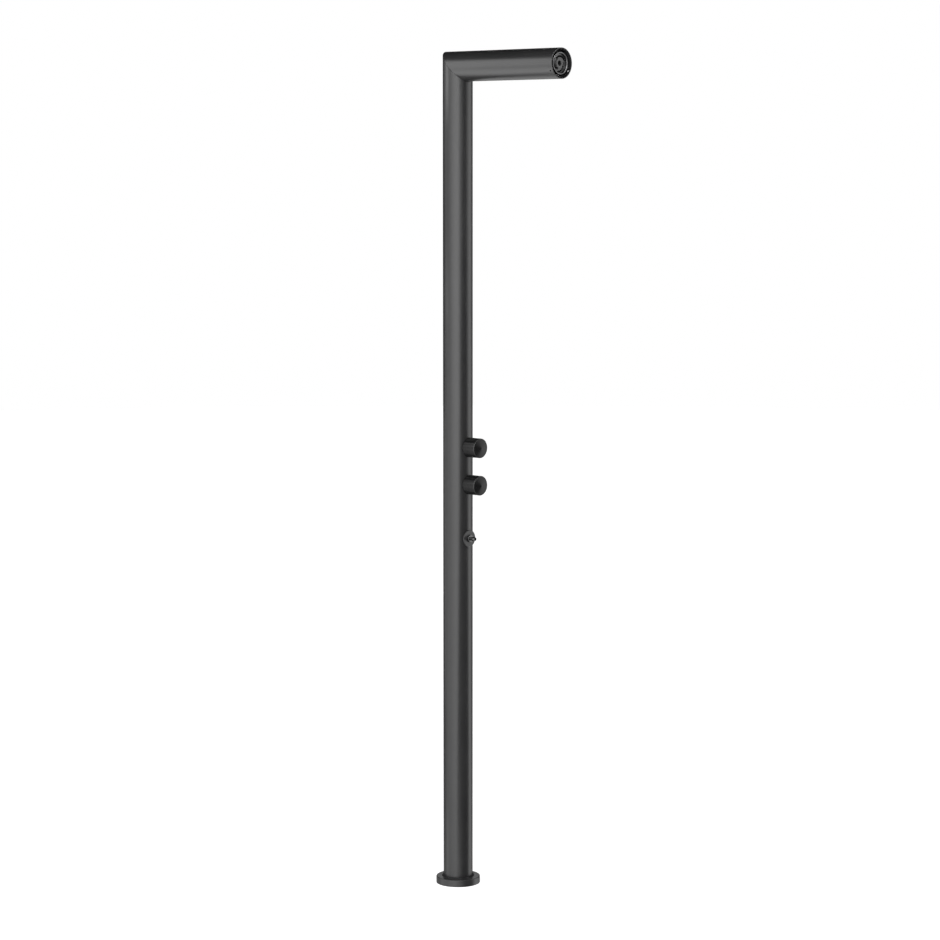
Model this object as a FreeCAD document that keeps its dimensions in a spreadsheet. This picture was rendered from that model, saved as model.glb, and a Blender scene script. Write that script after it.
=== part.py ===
"""Free-standing shower column for outdoors or a wet room.

One round tube stands on the floor and is mitred to an arm of the same tube. Two round knobs on its
front work a mixer and a diverter, a nipple below them takes a hose, and a recessed spray head sits in
the arm's open end. Millimetres, +Z up. The origin lies on the floor, on the column's axis. The arm
and the controls face -Y, and a station is a distance in front of the column's axis.
"""
import FreeCAD
import Part
import Sketcher
import math
import os
import re
from FreeCAD import Placement, Rotation, Vector

SIZES = {
    # Column and arm
    "tube_od": (76.1, "outside diameter of the column's and the arm's tube"),
    "tube_wall": (2.0, "wall of both tubes"),
    "overall_height": (2150, "floor to the top of the arm"),
    "arm_reach": (350, "column axis to the arm's open end"),
    "end_edge": (0.8, "rounding of the arm's open end"),
    "drain_dia": (4.5, "drain hole near the arm's end"),
    "drain_setback": (7.3, "arm's end to the drain holes"),
    "drain_drop": (30, "degrees of the drain holes below the horizontal"),
    # Foot
    "plate_thickness": (8, "anchor plate"),
    "plate_opening": (64, "opening of the anchor plate for the supply hoses"),
    "plate_gap": (0.6, "anchor plate's edge to the rosette's inside"),
    "anchor_pcd": (92, "pitch circle of the anchor bolts"),
    "anchor_hole": (9, "anchor bolt hole"),
    "anchor_count": (4, "number of anchor bolt holes"),
    "rosette_dia": (114, "floor rosette"),
    "rosette_height": (18, "floor rosette"),
    "rosette_wall": (3, "side wall of the floor rosette"),
    "rosette_top": (5, "top wall of the floor rosette"),
    "rosette_edge": (2.0, "rounding of the rosette's top edge"),
    "seal_width": (3.6, "rubber seal between rosette and tube"),
    "seal_lip": (1.5, "lip of the rosette under the seal"),
    "seal_proud": (2.0, "height of the seal above the rosette"),
    "seal_edge": (1.2, "bevel of the seal's top"),
    "slip": (0.3, "clearance of pieces that slide or hang free beside the tube"),
    # Controls
    "mixer_height": (1146, "floor to the mixer's axis"),
    "control_pitch": (96, "mixer's axis to the diverter's axis"),
    "knob_dia": (50.7, "knob"),
    "knob_length": (40.6, "back of the knob to the rim of its face"),
    "knob_crown": (3.6, "rise of the knob's conical face"),
    "knob_wall": (3, "skirt of the knob"),
    "knob_roof": (5, "rim of the knob's face to its cavity"),
    "knob_edge": (1.8, "rounding of the knob's rims"),
    "knob_gap": (0.4, "collar to the knob's back"),
    "knob_boss": (18, "boss inside the knob"),
    "boss_gap": (2.5, "gland nut to the knob's boss"),
    "collar_dia": (40, "saddle collar between tube and knob"),
    "collar_rise": (1.0, "collar's face in front of the tube"),
    "seat_gap": (0.1, "clearance where a piece seats on a tube"),
    "hole_gap": (0.5, "clearance of a shank in a hole of the tube"),
    "housing_dia": (34, "cartridge housing"),
    "housing_wall": (2.5, "wall of the cartridge housing"),
    "flange_dia": (41, "clamping flange of the cartridge housing"),
    "flange_thickness": (4.5, "clamping flange of the cartridge housing"),
    "thread_fit": (0.05, "clearance of screwed and pushed joints"),
    "running": (0.05, "clearance of turning pieces"),
    "chamber_floor": (10, "station of the valve chambers' floor"),
    "cartridge_seal": (2, "rubber seal under the cartridge"),
    "cartridge_wall": (2.4, "wall of the cartridge shell"),
    "cartridge_front": (4, "front wall of the cartridge shell"),
    "disc_thickness": (5, "ceramic discs"),
    "port_circle": (17, "pitch circle of the disc ports"),
    "port_dia": (5, "ports of discs and chamber floor"),
    "cavity_depth": (2, "water cavity in the back of a moving disc"),
    "mixer_cavity": (210, "degrees of the mixer's cavity, enough to open both supplies at once"),
    "diverter_cavity": (40, "degrees of the diverter's cavity, enough to open one outlet"),
    "tongue_width": (5, "tongue of the spindle that drives the moving disc"),
    "tongue_height": (1.5, "tongue of the spindle that drives the moving disc"),
    "stop_travel": (180, "degrees a spindle turns between its stops"),
    "stop_lug": (30, "degrees of the spindle's stop lug"),
    "stop_play": (1, "degrees left free at each stop"),
    "stop_length": (4, "stop lug and stop rib along the spindle"),
    "spindle_dia": (10, "spindle"),
    "drum_dia": (18, "drum of the spindle that drives the disc"),
    "nut_tail": (2.5, "gland nut inside the housing"),
    "nut_head": (5, "gland nut outside the housing"),
    "nut_flats": (30, "gland nut across its flats"),
    "grub_dia": (4, "grub screw of the knob"),
    "grub_socket": (2, "hexagon socket of the grub screw across its flats"),
    # Valve body and pipes
    "barrel_dia": (42, "barrels of the valve body round the chambers"),
    "barrel_back": (15, "back of the valve body behind the column's axis"),
    "valve_margin": (40, "valve body beyond its two chambers' axes"),
    "spine_width": (18, "spine between the barrels"),
    "gallery_dia": (6, "water galleries of the valve body"),
    "pipe_spread": (34, "hot pipe to cold pipe"),
    "pipe_back": (8, "supply pipes behind the column's axis"),
    "pipe_dia": (12, "supply pipes"),
    "pipe_wall": (1, "wall of all pipes"),
    "cross_drop": (13, "cross bore of the hose way below the diverter's axis"),
    "socket_depth": (12, "pipe ends in their sockets"),
    "socket_wall": (3, "metal round a pipe socket"),
    "coupling_flats": (24, "inlet coupling across its flats"),
    "coupling_length": (30, "inlet coupling"),
    "coupling_lift": (12, "mouth of the inlet couplings above the floor"),
    "inlet_thread": (18.6, "core of the female inlet thread"),
    "inlet_depth": (14, "depth of the female inlet thread"),
    "riser_dia": (14, "riser pipe to the spray head"),
    "riser_back": (7, "riser behind the column's axis"),
    "riser_bend": (60, "bend of the riser at the corner"),
    "spacer_thickness": (6, "spacer discs that hold the pipes in the tube"),
    "pipe_spacer_height": (480, "floor to the supply pipes' spacer"),
    "riser_spacer_height": (1650, "floor to the riser's spacer"),
    # Hose outlet
    "outlet_drop": (139.5, "diverter's axis to the hose outlet"),
    "outlet_pipe_dia": (10, "pipe to the hose outlet"),
    "outlet_pipe_forward": (5, "outlet pipe in front of the column's axis"),
    "outlet_disc_dia": (43, "rosette of the hose outlet"),
    "outlet_disc_rise": (3.4, "outlet rosette's face in front of the tube"),
    "outlet_disc_thickness": (2.6, "flat disc of the outlet rosette"),
    "outlet_seat_dia": (28, "saddle seat behind the outlet rosette's disc"),
    "outlet_disc_edge": (0.8, "rounding of the outlet rosette"),
    "washer_thickness": (0.8, "washer under the nipple"),
    "elbow_dia": (19, "elbow's boss behind the nipple"),
    "elbow_rise": (20, "elbow's socket above its axis"),
    "nipple_shank": (13, "threaded shank of the nipple"),
    "nipple_shank_length": (22, "threaded shank of the nipple"),
    "nipple_flange_dia": (19, "collar of the nipple"),
    "nipple_flange": (4.4, "collar of the nipple"),
    "nipple_neck_dia": (10, "neck of the nipple"),
    "nipple_neck": (3, "neck of the nipple"),
    "nipple_groove_dia": (8.4, "latch groove of the nipple"),
    "nipple_groove": (2.6, "latch groove of the nipple"),
    "nipple_plug_dia": (10.8, "plug of the nipple that seats in a hose coupling"),
    "nipple_plug": (6, "plug of the nipple"),
    "nipple_nose_dia": (8.8, "mouth of the nipple"),
    "nipple_nose": (3, "tapered nose of the nipple"),
    "nipple_bore": (6.8, "bore of the nipple"),
    # Spray head
    "head_recess": (4, "arm's end to the head's rim"),
    "head_dia": (55, "head body"),
    "head_wall": (3.5, "rim of the head body"),
    "head_depth": (24, "head body"),
    "head_floor": (4, "floor of the head body"),
    "head_edge": (1.0, "rounding of the head's rim"),
    "insert_recess": (5.5, "head's rim to the spray insert"),
    "insert_thickness": (5, "spray insert"),
    "insert_seat": (2.5, "shoulder that the spray insert rests on"),
    "hub_dia": (24, "hub of the spray insert"),
    "hub_rise": (2.5, "hub in front of the spray insert"),
    "hub_bore": (13.2, "centre jet of the spray insert"),
    "slot_count": (3, "swirl slots"),
    "slot_width": (4.8, "swirl slot"),
    "slot_inner": (14.8, "radius of a swirl slot where it leaves the hub"),
    "slot_outer": (21.0, "radius of a swirl slot where it reaches the rim"),
    "slot_start": (125, "degrees of the first slot's inner end"),
    "slot_sweep": (105, "degrees that a swirl slot runs round the hub"),
    "gasket_thickness": (1.5, "gasket behind the head body"),
    "carrier_thickness": (10, "carrier disc of the head"),
    "tail_dia": (24, "threaded tail of the head body"),
    "tail_length": (8, "threaded tail of the head body"),
    "spigot_dia": (22, "spigot of the carrier for the riser"),
    "spigot_length": (18, "spigot of the carrier for the riser"),
}

doc = FreeCAD.newDocument("ShowerColumn")
sheet = doc.addObject("Spreadsheet::Sheet", "Sizes")
for row, (alias, (number, meaning)) in enumerate(SIZES.items(), start=1):
    sheet.set(f"A{row}", meaning)
    sheet.set(f"B{row}", str(number))
    sheet.setAlias(f"B{row}", alias)
doc.recompute()

UP = Rotation()
FORWARD = Rotation(Vector(1, 0, 0), 90)
ACROSS = Rotation(Vector(0, 1, 0), 90)
nodes = []


def bound(text):
    """A formula in which each size's name stands for its cell of the sheet."""
    return re.sub(r"[a-z_]+", lambda word: f"Sizes.{word[0]}" if word[0] in SIZES else word[0], text)


def value(text):
    """What a formula comes to now."""
    return float(sheet.evalExpression(text))


def place(item, x, y, z, turn):
    """Set an object down at a point that follows the sizes."""
    item.Placement = Placement(Vector(value(x), value(y), value(z)), turn)
    for axis, text in zip("xyz", (x, y, z)):
        item.setExpression(f"Placement.Base.{axis}", bound(text))


def node(item):
    """Count an object as one finished piece of the column."""
    nodes.append(item)
    return item


def primitive(kind, name, sizes, x="0", y="0", z="0", turn=UP):
    """A Part primitive whose properties follow the sizes."""
    item = doc.addObject(kind, name)
    for key, text in sizes.items():
        item.setExpression(key, bound(text))
    place(item, x, y, z, turn)
    return item


def rod(name, radius, length, x="0", y="0", z="0", turn=UP):
    """A plain cylinder."""
    return primitive("Part::Cylinder", name, {"Radius": radius, "Height": length}, x, y, z, turn)


def hexagon(name, flats, length, x="0", y="0", z="0", turn=UP):
    """A six-sided bar, sized across its flats."""
    sizes = {"Circumradius": f"{flats} / 2 / cos(30 deg)", "Height": length}
    bar = primitive("Part::Prism", name, sizes, x, y, z, turn)
    bar.Polygon = 6
    return bar


def joined(name, pieces):
    """Several solids as one."""
    if len(pieces) == 1:
        return pieces[0]
    item = doc.addObject("Part::MultiFuse", name)
    item.Shapes = pieces
    return item


def cut(name, base, tools):
    """A solid with other solids taken out of it."""
    item = doc.addObject("Part::Cut", name)
    item.Base = base
    item.Tool = joined(f"{name}_cutters", tools)
    return item


def new_body(name):
    """An empty body."""
    return doc.addObject("PartDesign::Body", name)


def new_sketch(body, role, suffix):
    """A sketch on one of the body's own origin planes."""
    sketch = body.newObject("Sketcher::SketchObject", f"{body.Name}_{suffix}")
    plane = next(item for item in body.Origin.OriginFeatures if item.Role == role)
    sketch.AttachmentSupport = (plane, [""])
    sketch.MapMode = "FlatFace"
    return sketch


def dimension(sketch, kind, places, text):
    """A dimension of a sketch that follows the sizes."""
    index = sketch.addConstraint(Sketcher.Constraint(kind, *places, value(text)))
    name = f"{kind}_{index}"
    sketch.renameConstraint(index, name)
    sketch.setExpression(f"Constraints.{name}", bound(text))


def pin_point(sketch, geometry, end, x, y):
    """Dimension a point of the sketch from its origin."""
    dimension(sketch, "DistanceX", (-1, 1, geometry, end), x)
    dimension(sketch, "DistanceY", (-1, 1, geometry, end), y)


def draw_polygon(sketch, corners):
    """A closed outline of straight lines."""
    points = [Vector(value(x), value(y), 0) for x, y in corners]
    count = len(points)
    first = sketch.GeometryCount
    for index in range(count):
        sketch.addGeometry(Part.LineSegment(points[index], points[(index + 1) % count]), False)
    for index in range(count):
        follower = first + (index + 1) % count
        sketch.addConstraint(Sketcher.Constraint("Coincident", first + index, 2, follower, 1))
    for index, (x, y) in enumerate(corners):
        pin_point(sketch, first + index, 1, x, y)


def draw_circle(sketch, radius, x="0", y="0"):
    """A circle."""
    centre = Vector(value(x), value(y), 0)
    geometry = sketch.addGeometry(Part.Circle(centre, Vector(0, 0, 1), value(radius)), False)
    pin_point(sketch, geometry, 3, x, y)
    dimension(sketch, "Radius", (geometry,), radius)


def pad(body, sketch, length):
    """Thicken a sketch along its normal."""
    feature = body.newObject("PartDesign::Pad", f"{sketch.Name}_pad")
    feature.Profile = sketch
    feature.setExpression("Length", bound(length))
    return feature


def pocket(body, sketch, side, towards_normal=False):
    """Cut a sketch through the whole body, on one side of its plane or on both."""
    feature = body.newObject("PartDesign::Pocket", f"{sketch.Name}_pocket")
    feature.Profile = sketch
    feature.Type = "ThroughAll"
    feature.SideType = side
    feature.Reversed = towards_normal
    return feature


def spin(body, sketch):
    """Turn a sketch once round the body's Z axis."""
    feature = body.newObject("PartDesign::Revolution", f"{sketch.Name}_turned")
    feature.Profile = sketch
    feature.ReferenceAxis = (sketch, ["V_Axis"])
    feature.Angle = 360


def round_rims(body, radius, rims):
    """Round the circular edges that have one of the given radii at the given heights."""
    doc.recompute()
    wanted = [(value(rim), value(height)) for rim, height in rims]
    base = body.Tip
    names = []
    for index, edge in enumerate(base.Shape.Edges, start=1):
        curve = edge.Curve
        if not isinstance(curve, Part.Circle):
            continue
        if any(abs(curve.Radius - rim) + abs(curve.Center.z - height) < 1e-6 for rim, height in wanted):
            names.append(f"Edge{index}")
    fillet = body.newObject("PartDesign::Fillet", f"{body.Name}_rounding")
    fillet.Base = (base, names)
    fillet.setExpression("Radius", bound(radius))


def turned(name, corners, x="0", y="0", z="0", turn=UP):
    """A piece from the lathe: (radius, height) corners turned about its own Z axis."""
    body = new_body(name)
    profile = new_sketch(body, "XZ_Plane", "profile")
    draw_polygon(profile, corners)
    spin(body, profile)
    place(body, x, y, z, turn)
    return body


def ring(name, inner, outer, low, high, x="0", y="0", z="0", turn=UP):
    """A plain turned ring or pipe."""
    return turned(name, [(inner, low), (outer, low), (outer, high), (inner, high)], x, y, z, turn)


tube_r = "(tube_od / 2)"
bore_r = f"({tube_r} - tube_wall)"
arm_height = f"(overall_height - {tube_r})"
diverter_height = "(mixer_height - control_pitch)"
outlet_height = f"({diverter_height} - outlet_drop)"

# The anchor plate: a steel disc with bolt holes outside the tube and an opening inside it for the hoses.
plate_r = "(rosette_dia / 2 - rosette_wall - plate_gap)"
plate = node(new_body("anchor_plate"))
plate_outline = new_sketch(plate, "XY_Plane", "outline")
draw_circle(plate_outline, plate_r)
draw_circle(plate_outline, "plate_opening / 2")
pad(plate, plate_outline, "plate_thickness")
anchor_sketch = new_sketch(plate, "XY_Plane", "anchor_hole")
draw_circle(anchor_sketch, "anchor_hole / 2", "anchor_pcd / 2 * cos(45 deg)", "anchor_pcd / 2 * sin(45 deg)")
anchor_pocket = pocket(plate, anchor_sketch, "One side", towards_normal=True)
doc.recompute()
anchor_pattern = plate.newObject("PartDesign::PolarPattern", "anchor_pattern")
anchor_pattern.Originals = [anchor_pocket]
anchor_pattern.Axis = (anchor_sketch, ["N_Axis"])
anchor_pattern.Angle = 360
anchor_pattern.setExpression("Occurrences", "Sizes.anchor_count")
plate.Tip = anchor_pattern

# The column: a tube welded to the anchor plate, holed at the front and mitred at the top.
mitre_reach = "tube_od"
housing_hole_r = "(housing_dia / 2 + hole_gap)"
outlet_hole_r = "(nipple_shank / 2 + hole_gap)"
column = node(new_body("column_tube"))
column_section = new_sketch(column, "XY_Plane", "section")
draw_circle(column_section, tube_r)
draw_circle(column_section, bore_r)
pad(column, column_section, "overall_height - plate_thickness")
column_mitre = new_sketch(column, "YZ_Plane", "mitre")
mitre_height = f"({arm_height} - plate_thickness)"
draw_polygon(column_mitre, [
    (f"-{mitre_reach}", f"{mitre_height} - {mitre_reach}"),
    (mitre_reach, f"{mitre_height} + {mitre_reach}"),
    (f"-{mitre_reach}", f"{mitre_height} + {mitre_reach}"),
])
pocket(column, column_mitre, "Symmetric")
column_holes = new_sketch(column, "XZ_Plane", "holes")
for hole_r, height in (
    (housing_hole_r, "mixer_height"),
    (housing_hole_r, diverter_height),
    (outlet_hole_r, outlet_height),
):
    draw_circle(column_holes, hole_r, "0", f"{height} - plate_thickness")
pocket(column, column_holes, "One side", towards_normal=True)
place(column, "0", "0", "plate_thickness", UP)

# The arm: the same tube, mitred to the column's top, open at its end, with a drain hole on each side.
arm_blank = new_body("arm_blank")
arm_section = new_sketch(arm_blank, "XY_Plane", "section")
draw_circle(arm_section, tube_r)
draw_circle(arm_section, bore_r)
pad(arm_blank, arm_section, f"arm_reach + {tube_r}")
arm_mitre = new_sketch(arm_blank, "YZ_Plane", "mitre")
draw_polygon(arm_mitre, [
    (f"-{mitre_reach}", f"{tube_r} + {mitre_reach}"),
    (mitre_reach, f"{tube_r} - {mitre_reach}"),
    (f"-{mitre_reach}", f"{tube_r} - {mitre_reach}"),
])
pocket(arm_blank, arm_mitre, "Symmetric")
arm_length = f"(arm_reach + {tube_r})"
round_rims(arm_blank, "end_edge", [(tube_r, arm_length), (bore_r, arm_length)])
place(arm_blank, "0", tube_r, arm_height, FORWARD)
drains = []
for side, lean in (("left", -1), ("right", 1)):
    aim = Rotation(Vector(0, 1, 0), lean * (90 + value("drain_drop")))
    drains.append(rod(f"drain_{side}", "drain_dia / 2", "tube_od",
                      "0", "-(arm_reach - drain_setback)", arm_height, aim))
arm = node(cut("arm_tube", arm_blank, drains))

# The floor rosette: a turned cap over the anchor plate that slides up the tube, with a rubber seal.
seal_inner = f"({tube_r} + slip)"
seal_outer = f"({seal_inner} + seal_width)"
lip_r = f"({seal_inner} + seal_width / 3)"
under_top = "(rosette_height - rosette_top)"
seal_seat = f"({under_top} + seal_lip)"
rosette = node(turned("floor_rosette", [
    (lip_r, under_top),
    ("rosette_dia / 2 - rosette_wall", under_top),
    ("rosette_dia / 2 - rosette_wall", "0"),
    ("rosette_dia / 2", "0"),
    ("rosette_dia / 2", "rosette_height"),
    (seal_outer, "rosette_height"),
    (seal_outer, seal_seat),
    (lip_r, seal_seat),
]))
round_rims(rosette, "rosette_edge", [("rosette_dia / 2", "rosette_height")])
seal_top = "(rosette_height + seal_proud)"
node(turned("rosette_seal", [
    (seal_inner, seal_seat),
    (seal_outer, seal_seat),
    (seal_outer, f"{seal_top} - seal_edge"),
    (f"{seal_outer} - seal_edge", seal_top),
    (f"{seal_inner} + seal_edge / 2", seal_top),
    (seal_inner, f"{seal_top} - seal_edge / 2"),
]))

# The valve body: a cast brass manifold against the tube's front, with a chamber for each cartridge.
valve_r = f"({bore_r} - slip)"
valve_low = f"({diverter_height} - valve_margin)"
valve_high = "(mixer_height + valve_margin)"
gallery_r = "(gallery_dia / 2)"
port_r = "(port_dia / 2)"
pipe_x = "(pipe_spread / 2)"
riser_socket_r = "(riser_dia / 2 + thread_fit)"
chamber_r = "(housing_dia / 2 + thread_fit)"
barrels = []
chambers = []
for name, height in (("mixer", "mixer_height"), ("diverter", diverter_height)):
    barrels.append(rod(f"{name}_barrel", "barrel_dia / 2", f"barrel_back + {tube_r}",
                       "0", "barrel_back", height, FORWARD))
    chambers.append(rod(f"{name}_chamber", chamber_r, tube_r, "0", "-chamber_floor", height, FORWARD))
spine = primitive("Part::Box", "valve_spine", {
    "Length": "spine_width",
    "Width": "barrel_back + chamber_floor",
    "Height": f"{valve_high} - {valve_low}",
}, "-spine_width / 2", "-chamber_floor", valve_low)
supply_columns = []
sockets = []
galleries = []
column_r = "(pipe_dia / 2 + socket_wall)"
cross_length = f"({pipe_x} - port_circle / 2 + {gallery_r})"
for name, side, cross_x in (
    ("hot", "-", f"-{pipe_x}"),
    ("cold", "", f"port_circle / 2 - {gallery_r}"),
):
    x = f"{side}{pipe_x}"
    supply_columns.append(rod(f"{name}_supply_column", column_r, f"mixer_height - {valve_low} + {column_r}",
                              x, "pipe_back", valve_low))
    sockets.append(rod(f"{name}_socket", "pipe_dia / 2 + thread_fit", "socket_depth",
                       x, "pipe_back", valve_low))
    galleries.append(rod(f"{name}_gallery", gallery_r, f"mixer_height - {valve_low}",
                         x, "pipe_back", valve_low))
    galleries.append(rod(f"{name}_cross_bore", gallery_r, cross_length,
                         cross_x, "pipe_back", "mixer_height", ACROSS))
    galleries.append(rod(f"{name}_port", port_r, "pipe_back + chamber_floor",
                         f"{side}port_circle / 2", "pipe_back", "mixer_height", FORWARD))
riser_boss = rod("riser_boss", f"{riser_socket_r} + socket_wall", "2 * socket_depth", "0", "riser_back",
                 f"{valve_high} - 2 * socket_depth")
sockets.append(rod("riser_socket", riser_socket_r, "socket_depth",
                   "0", "riser_back", f"{valve_high} - socket_depth"))
galleries.append(rod("riser_gallery", gallery_r, f"{valve_high} - {diverter_height}",
                     "0", "riser_back", diverter_height))
galleries.append(rod("riser_cross_bore", gallery_r, f"port_circle / 2 + {gallery_r}",
                     f"-port_circle / 2 - {gallery_r}", "riser_back", diverter_height, ACROSS))
galleries.append(rod("riser_port", port_r, "riser_back + chamber_floor",
                     "-port_circle / 2", "riser_back", diverter_height, FORWARD))
cross_height = f"({diverter_height} - cross_drop)"
galleries.append(rod("mixed_gallery", gallery_r, f"control_pitch + 2 * {gallery_r}",
                     "0", "-outlet_pipe_forward", f"{diverter_height} - {gallery_r}"))
galleries.append(rod("outlet_gallery", gallery_r, f"{cross_height} - {valve_low}",
                     "0", "-outlet_pipe_forward", valve_low))
galleries.append(rod("outlet_cross_bore", gallery_r, "port_circle / 2",
                     "0", "-outlet_pipe_forward", cross_height, ACROSS))
galleries.append(rod("outlet_side_gallery", gallery_r, f"cross_drop + {gallery_r}",
                     "port_circle / 2", "-outlet_pipe_forward", cross_height))
front_port = "(chamber_floor - outlet_pipe_forward)"
for name, x, height in (
    ("mixed_from_mixer", "0", "mixer_height"),
    ("mixed_to_diverter", "0", diverter_height),
    ("outlet_port", "port_circle / 2", diverter_height),
):
    galleries.append(rod(name, port_r, front_port, x, "-outlet_pipe_forward", height, FORWARD))
sockets.append(rod("outlet_socket", "outlet_pipe_dia / 2 + thread_fit", "socket_depth",
                   "0", "-outlet_pipe_forward", valve_low))
outlet_boss = rod("outlet_boss", "outlet_pipe_dia / 2 + socket_wall", "2 * socket_depth",
                  "0", "-outlet_pipe_forward", valve_low)
valve_solid = joined("valve_solid", [*barrels, *supply_columns, spine, riser_boss, outlet_boss])
valve_space = rod("valve_space", valve_r, f"{valve_high} - {valve_low}", "0", "0", valve_low)
valve_blank = doc.addObject("Part::Common", "valve_blank")
valve_blank.Base = valve_solid
valve_blank.Tool = valve_space
valve_body = node(cut("valve_body", valve_blank, [*chambers, *sockets, *galleries]))

# The two controls. Each has a cartridge in a brass housing that is screwed into the valve body through
# the tube, a saddle collar that the housing clamps to the tube, and a turned knob on the spindle.
# The mixer goes from cold at rest to hot. The diverter is shut at rest and opens to the arm or the hose.
collar_front = f"({tube_r} + collar_rise)"
flange_front = f"({collar_front} + flange_thickness)"
shell_r = "(housing_dia / 2 - housing_wall - thread_fit)"
shell_bore = f"({shell_r} - cartridge_wall)"
shell_back = "(chamber_floor + cartridge_seal)"
shell_front = f"({flange_front} - nut_tail)"
moving_back = f"({shell_back} + disc_thickness + running)"
drum_back = f"({moving_back} + disc_thickness)"
tongue_back = f"({drum_back} - tongue_height)"
shell_ceiling = f"({shell_front} - cartridge_front)"
drum_front = f"({shell_ceiling} - running)"
stop_free = "(stop_travel + stop_lug + 2 * stop_play)"
spindle_r = "(spindle_dia / 2)"
nut_front = f"({flange_front} + nut_head)"
knob_r = "(knob_dia / 2)"
knob_back = f"({collar_front} + knob_gap)"
knob_rim = f"({knob_back} + knob_length)"
knob_ceiling = f"({knob_rim} - knob_roof)"
boss_back = f"({nut_front} + boss_gap)"
grub_station = f"(({boss_back} + {knob_ceiling}) / 2)"
grub_r = "(grub_dia / 2)"


def sector(name, radius, length, angle, start, station, height):
    """A wedge of a cylinder that runs counter-clockwise from an angle in degrees, seen from the front."""
    sizes = {"Radius": radius, "Height": length, "Angle": angle}
    turn = FORWARD * Rotation(Vector(0, 0, 1), start)
    return primitive("Part::Cylinder", name, sizes, "0", f"-{station}", height, turn)


def crossbar(name, length, width, thickness, station, height):
    """A flat bar across a control's axis."""
    sizes = {"Length": length, "Width": width, "Height": thickness}
    return primitive("Part::Box", name, sizes,
                     f"-({length}) / 2", f"-{station}", f"{height} - ({width}) / 2", FORWARD)


def discs(name, height, cavity, cavity_middle):
    """The fixed disc with its three ports, and the moving disc whose cavity joins them."""
    fixed = node(new_body(f"{name}_fixed_disc"))
    outline = new_sketch(fixed, "XY_Plane", "outline")
    draw_circle(outline, f"{shell_bore} - thread_fit")
    for x in ("-port_circle / 2", "0", "port_circle / 2"):
        draw_circle(outline, port_r, x)
    pad(fixed, outline, "disc_thickness")
    place(fixed, "0", f"-{shell_back}", height, FORWARD)
    moving = rod(f"{name}_moving_blank", f"{shell_bore} - slip", "disc_thickness",
                 "0", f"-{moving_back}", height, FORWARD)
    node(cut(f"{name}_moving_disc", moving, [
        sector(f"{name}_cavity", f"port_circle / 2 + {port_r}", "cavity_depth", cavity,
               cavity_middle - value(cavity) / 2, moving_back, height),
        rod(f"{name}_cavity_centre", port_r, "cavity_depth", "0", f"-{moving_back}", height, FORWARD),
        crossbar(f"{name}_drive_slot", f"2 * {shell_bore}", "tongue_width + 2 * thread_fit", "tongue_height",
                 tongue_back, height),
    ]))


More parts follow.
